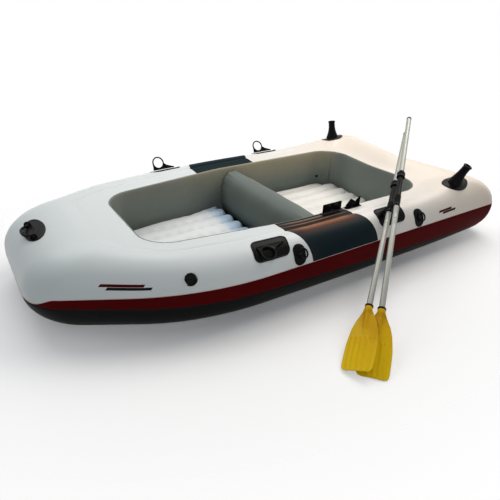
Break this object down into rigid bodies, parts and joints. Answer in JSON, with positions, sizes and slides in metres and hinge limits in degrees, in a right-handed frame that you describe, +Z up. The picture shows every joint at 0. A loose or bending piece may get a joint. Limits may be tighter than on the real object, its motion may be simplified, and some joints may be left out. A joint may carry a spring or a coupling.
{
  "type": "inflatable boat",
  "caption": "Small flat-bottomed inflatable boat with an inner air chamber, a cross tube, ribbed floor mats, moulded oarlocks, rod holders and stowed oars.",
  "frame": {"origin": "centre of the flat bottom sheet's underside, on the ground plane; +X to the stern, -X to the bow, -Y to port", "axes": "+X fore and aft towards the stern, the longest extent; +Y to starboard; +Z up, away from the flat bottom"},
  "size_m": [2.4628, 1.77, 0.6343],
  "materials": {
    "white_vinyl": "satin off-white PVC, a little cream to the stern",
    "grey_vinyl": "matte warm grey PVC",
    "black_vinyl": "satin black PVC",
    "red_vinyl": "satin dark red PVC",
    "navy_vinyl": "glossy navy print",
    "black_rubber": "satin moulded black PVC and rubber",
    "white_plastic": "clear white soft plastic",
    "yellow_plastic": "satin yellow moulded plastic",
    "grey_alloy": "satin warm grey anodised tube"
  },
  "bodies": {
    "hull": {"outer_chamber": "white_vinyl", "inner_chamber": "grey_vinyl", "thwart": "grey_vinyl", "floor_mat_forward": "white_vinyl", "floor_mat_aft": "white_vinyl", "bottom_sheet": "black_vinyl", "black_band": "black_vinyl", "red_band": "red_vinyl", "band_port": "navy_vinyl", "band_starboard": "navy_vinyl", "oarlock_pad_port_forward": "black_rubber", "oarlock_pad_port_aft": "black_rubber", "oarlock_pad_starboard_forward": "black_rubber", "oarlock_pad_starboard_aft": "black_rubber", "eyelet_pad_port_forward": "black_rubber", "eyelet_pad_port_aft": "black_rubber", "eyelet_pad_starboard_forward": "black_rubber", "eyelet_pad_starboard_aft": "black_rubber", "bow_handle_pad": "black_rubber", "rod_holder_port": "black_rubber", "rod_holder_starboard": "black_rubber", "valve_base_outer": "black_rubber", "valve_base_inner": "white_plastic", "valve_base_thwart": "white_plastic", "valve_base_floor_forward": "white_plastic", "valve_base_floor_aft": "white_plastic", "keeper_patch": "black_rubber", "keeper_clip": "black_rubber"},
    "ring_starboard_forward": {"oarlock_ring_starboard_forward": "black_rubber"},
    "ring_starboard_aft": {"oarlock_ring_starboard_aft": "black_rubber"},
    "ring_port_forward": {"oarlock_ring_port_forward": "black_rubber"},
    "ring_port_aft": {"oarlock_ring_port_aft": "black_rubber"},
    "eyelet_port_forward": {"eyelet_ring_port_forward": "black_rubber"},
    "eyelet_port_aft": {"eyelet_ring_port_aft": "black_rubber"},
    "eyelet_starboard_forward": {"eyelet_ring_starboard_forward": "black_rubber"},
    "eyelet_starboard_aft": {"eyelet_ring_starboard_aft": "black_rubber"},
    "bow_grip": {"bow_handle_grip": "black_rubber"},
    "valve_cap": {"valve_cap_outer": "black_rubber"},
    "plug_inner": {"valve_plug_inner": "white_plastic"},
    "plug_thwart": {"valve_plug_thwart": "white_plastic"},
    "plug_floor_forward": {"valve_plug_floor_forward": "white_plastic"},
    "plug_floor_aft": {"valve_plug_floor_aft": "white_plastic"},
    "keeper_strap_body": {"keeper_strap": "black_rubber"},
    "oar_a_upper": {"shaft_upper_a": "grey_alloy", "oar_sleeve_a": "black_rubber", "end_cap_a": "black_rubber"},
    "oar_a_lower": {"blade_a": "yellow_plastic", "blade_collar_a": "black_rubber", "shaft_lower_a": "grey_alloy"},
    "stop_a": {"stop_ring_a": "black_rubber"},
    "oar_b_upper": {"shaft_upper_b": "grey_alloy", "oar_sleeve_b": "black_rubber", "end_cap_b": "black_rubber"},
    "oar_b_lower": {"blade_b": "yellow_plastic", "blade_collar_b": "black_rubber", "shaft_lower_b": "grey_alloy"},
    "stop_b": {"stop_ring_b": "black_rubber"}
  },
  "joints": [
    {"name": "ring_starboard_forward_flex", "type": "hinge", "parent": "hull", "child": "ring_starboard_forward", "pos_m": [-0.33518, 0.53702, 0.29177], "axis": [0.9974, 0.071, -0.0095], "range_deg": [-80, 60], "stiffness_Nm_per_rad": 0.35},
    {"name": "ring_starboard_aft_flex", "type": "hinge", "parent": "hull", "child": "ring_starboard_aft", "pos_m": [0.36197, 0.5488, 0.29268], "axis": [1, 0.001, 0.0047], "range_deg": [-80, 60], "stiffness_Nm_per_rad": 0.35},
    {"name": "ring_port_forward_unfold", "type": "hinge", "parent": "hull", "child": "ring_port_forward", "pos_m": [-0.33519, -0.53727, 0.29142], "axis": [0.9975, -0.07, -0.01], "range_deg": [-140, 0]},
    {"name": "ring_port_aft_flex", "type": "hinge", "parent": "hull", "child": "ring_port_aft", "pos_m": [0.36197, -0.54877, 0.2927], "axis": [1, -0.001, 0.0047], "range_deg": [-12, 0]},
    {"name": "eyelet_port_forward_swing", "type": "hinge", "parent": "hull", "child": "eyelet_port_forward", "pos_m": [-0.22314, -0.59583, 0.24128], "axis": [-0.0076, -0.6054, -0.7958], "range_deg": [0, 120]},
    {"name": "eyelet_port_aft_swing", "type": "hinge", "parent": "hull", "child": "eyelet_port_aft", "pos_m": [0.52794, -0.59951, 0.24138], "axis": [0.0161, -0.5696, -0.8218], "range_deg": [0, 120]},
    {"name": "eyelet_starboard_forward_swing", "type": "hinge", "parent": "hull", "child": "eyelet_starboard_forward", "pos_m": [-0.22306, 0.59615, 0.24149], "axis": [0.0076, -0.6046, 0.7965], "range_deg": [0, 120]},
    {"name": "eyelet_starboard_aft_swing", "type": "hinge", "parent": "hull", "child": "eyelet_starboard_aft", "pos_m": [0.52794, 0.59944, 0.24118], "axis": [-0.0163, -0.5544, 0.8321], "range_deg": [0, 120]},
    {"name": "bow_grip_swing", "type": "hinge", "parent": "hull", "child": "bow_grip", "pos_m": [-1.1524, 0.04, 0.30875], "axis": [0, 1, 0], "range_deg": [0, 130]},
    {"name": "valve_cap_turn", "type": "hinge", "parent": "hull", "child": "valve_cap", "pos_m": [-0.70087, -0.53602, 0.24033], "axis": [-0.2678, -0.7318, 0.6267], "continuous": true},
    {"name": "plug_inner_pull", "type": "slide", "parent": "hull", "child": "plug_inner", "axis": [0, -1, 0], "range_m": [0, 0.012]},
    {"name": "plug_thwart_pull", "type": "slide", "parent": "hull", "child": "plug_thwart", "axis": [1, 0, 0], "range_m": [0, 0.012]},
    {"name": "plug_floor_forward_pull", "type": "slide", "parent": "hull", "child": "plug_floor_forward", "axis": [0, 0, 1], "range_m": [0, 0.012]},
    {"name": "plug_floor_aft_pull", "type": "slide", "parent": "hull", "child": "plug_floor_aft", "axis": [0, 0, 1], "range_m": [0, 0.012]},
    {"name": "keeper_strap_fold", "type": "hinge", "parent": "hull", "child": "keeper_strap_body", "pos_m": [0.11, -0.414, 0.2971], "axis": [1, 0, 0], "range_deg": [-70, 70], "stiffness_Nm_per_rad": 0.02},
    {"name": "oar_a_slide", "type": "slide", "parent": "ring_port_aft", "child": "oar_a_upper", "axis": [0.7462, 0.5756, 0.3345], "range_m": [0, 0.03]},
    {"name": "oar_a_feather", "type": "hinge", "parent": "oar_a_upper", "child": "oar_a_lower", "pos_m": [0.27543, -0.6143, 0.29311], "axis": [0.7462, 0.5756, 0.3345], "range_deg": [-30, 0]},
    {"name": "stop_a_slide", "type": "slide", "parent": "oar_a_upper", "child": "stop_a", "axis": [0.7462, 0.5756, 0.3345], "range_m": [-0.1, 0.008]},
    {"name": "oar_b_slide", "type": "slide", "parent": "ring_port_aft", "child": "oar_b_upper", "axis": [0.6989, 0.5862, 0.4098], "range_m": [0, 0.01]},
    {"name": "oar_b_feather", "type": "hinge", "parent": "oar_b_upper", "child": "oar_b_lower", "pos_m": [0.2801, -0.64901, 0.3326], "axis": [0.6989, 0.5862, 0.4098], "range_deg": [-50, 0]},
    {"name": "stop_b_slide", "type": "slide", "parent": "oar_b_upper", "child": "stop_b", "axis": [0.6989, 0.5862, 0.4098], "range_m": [-0.1, 0.008]}
  ]
}
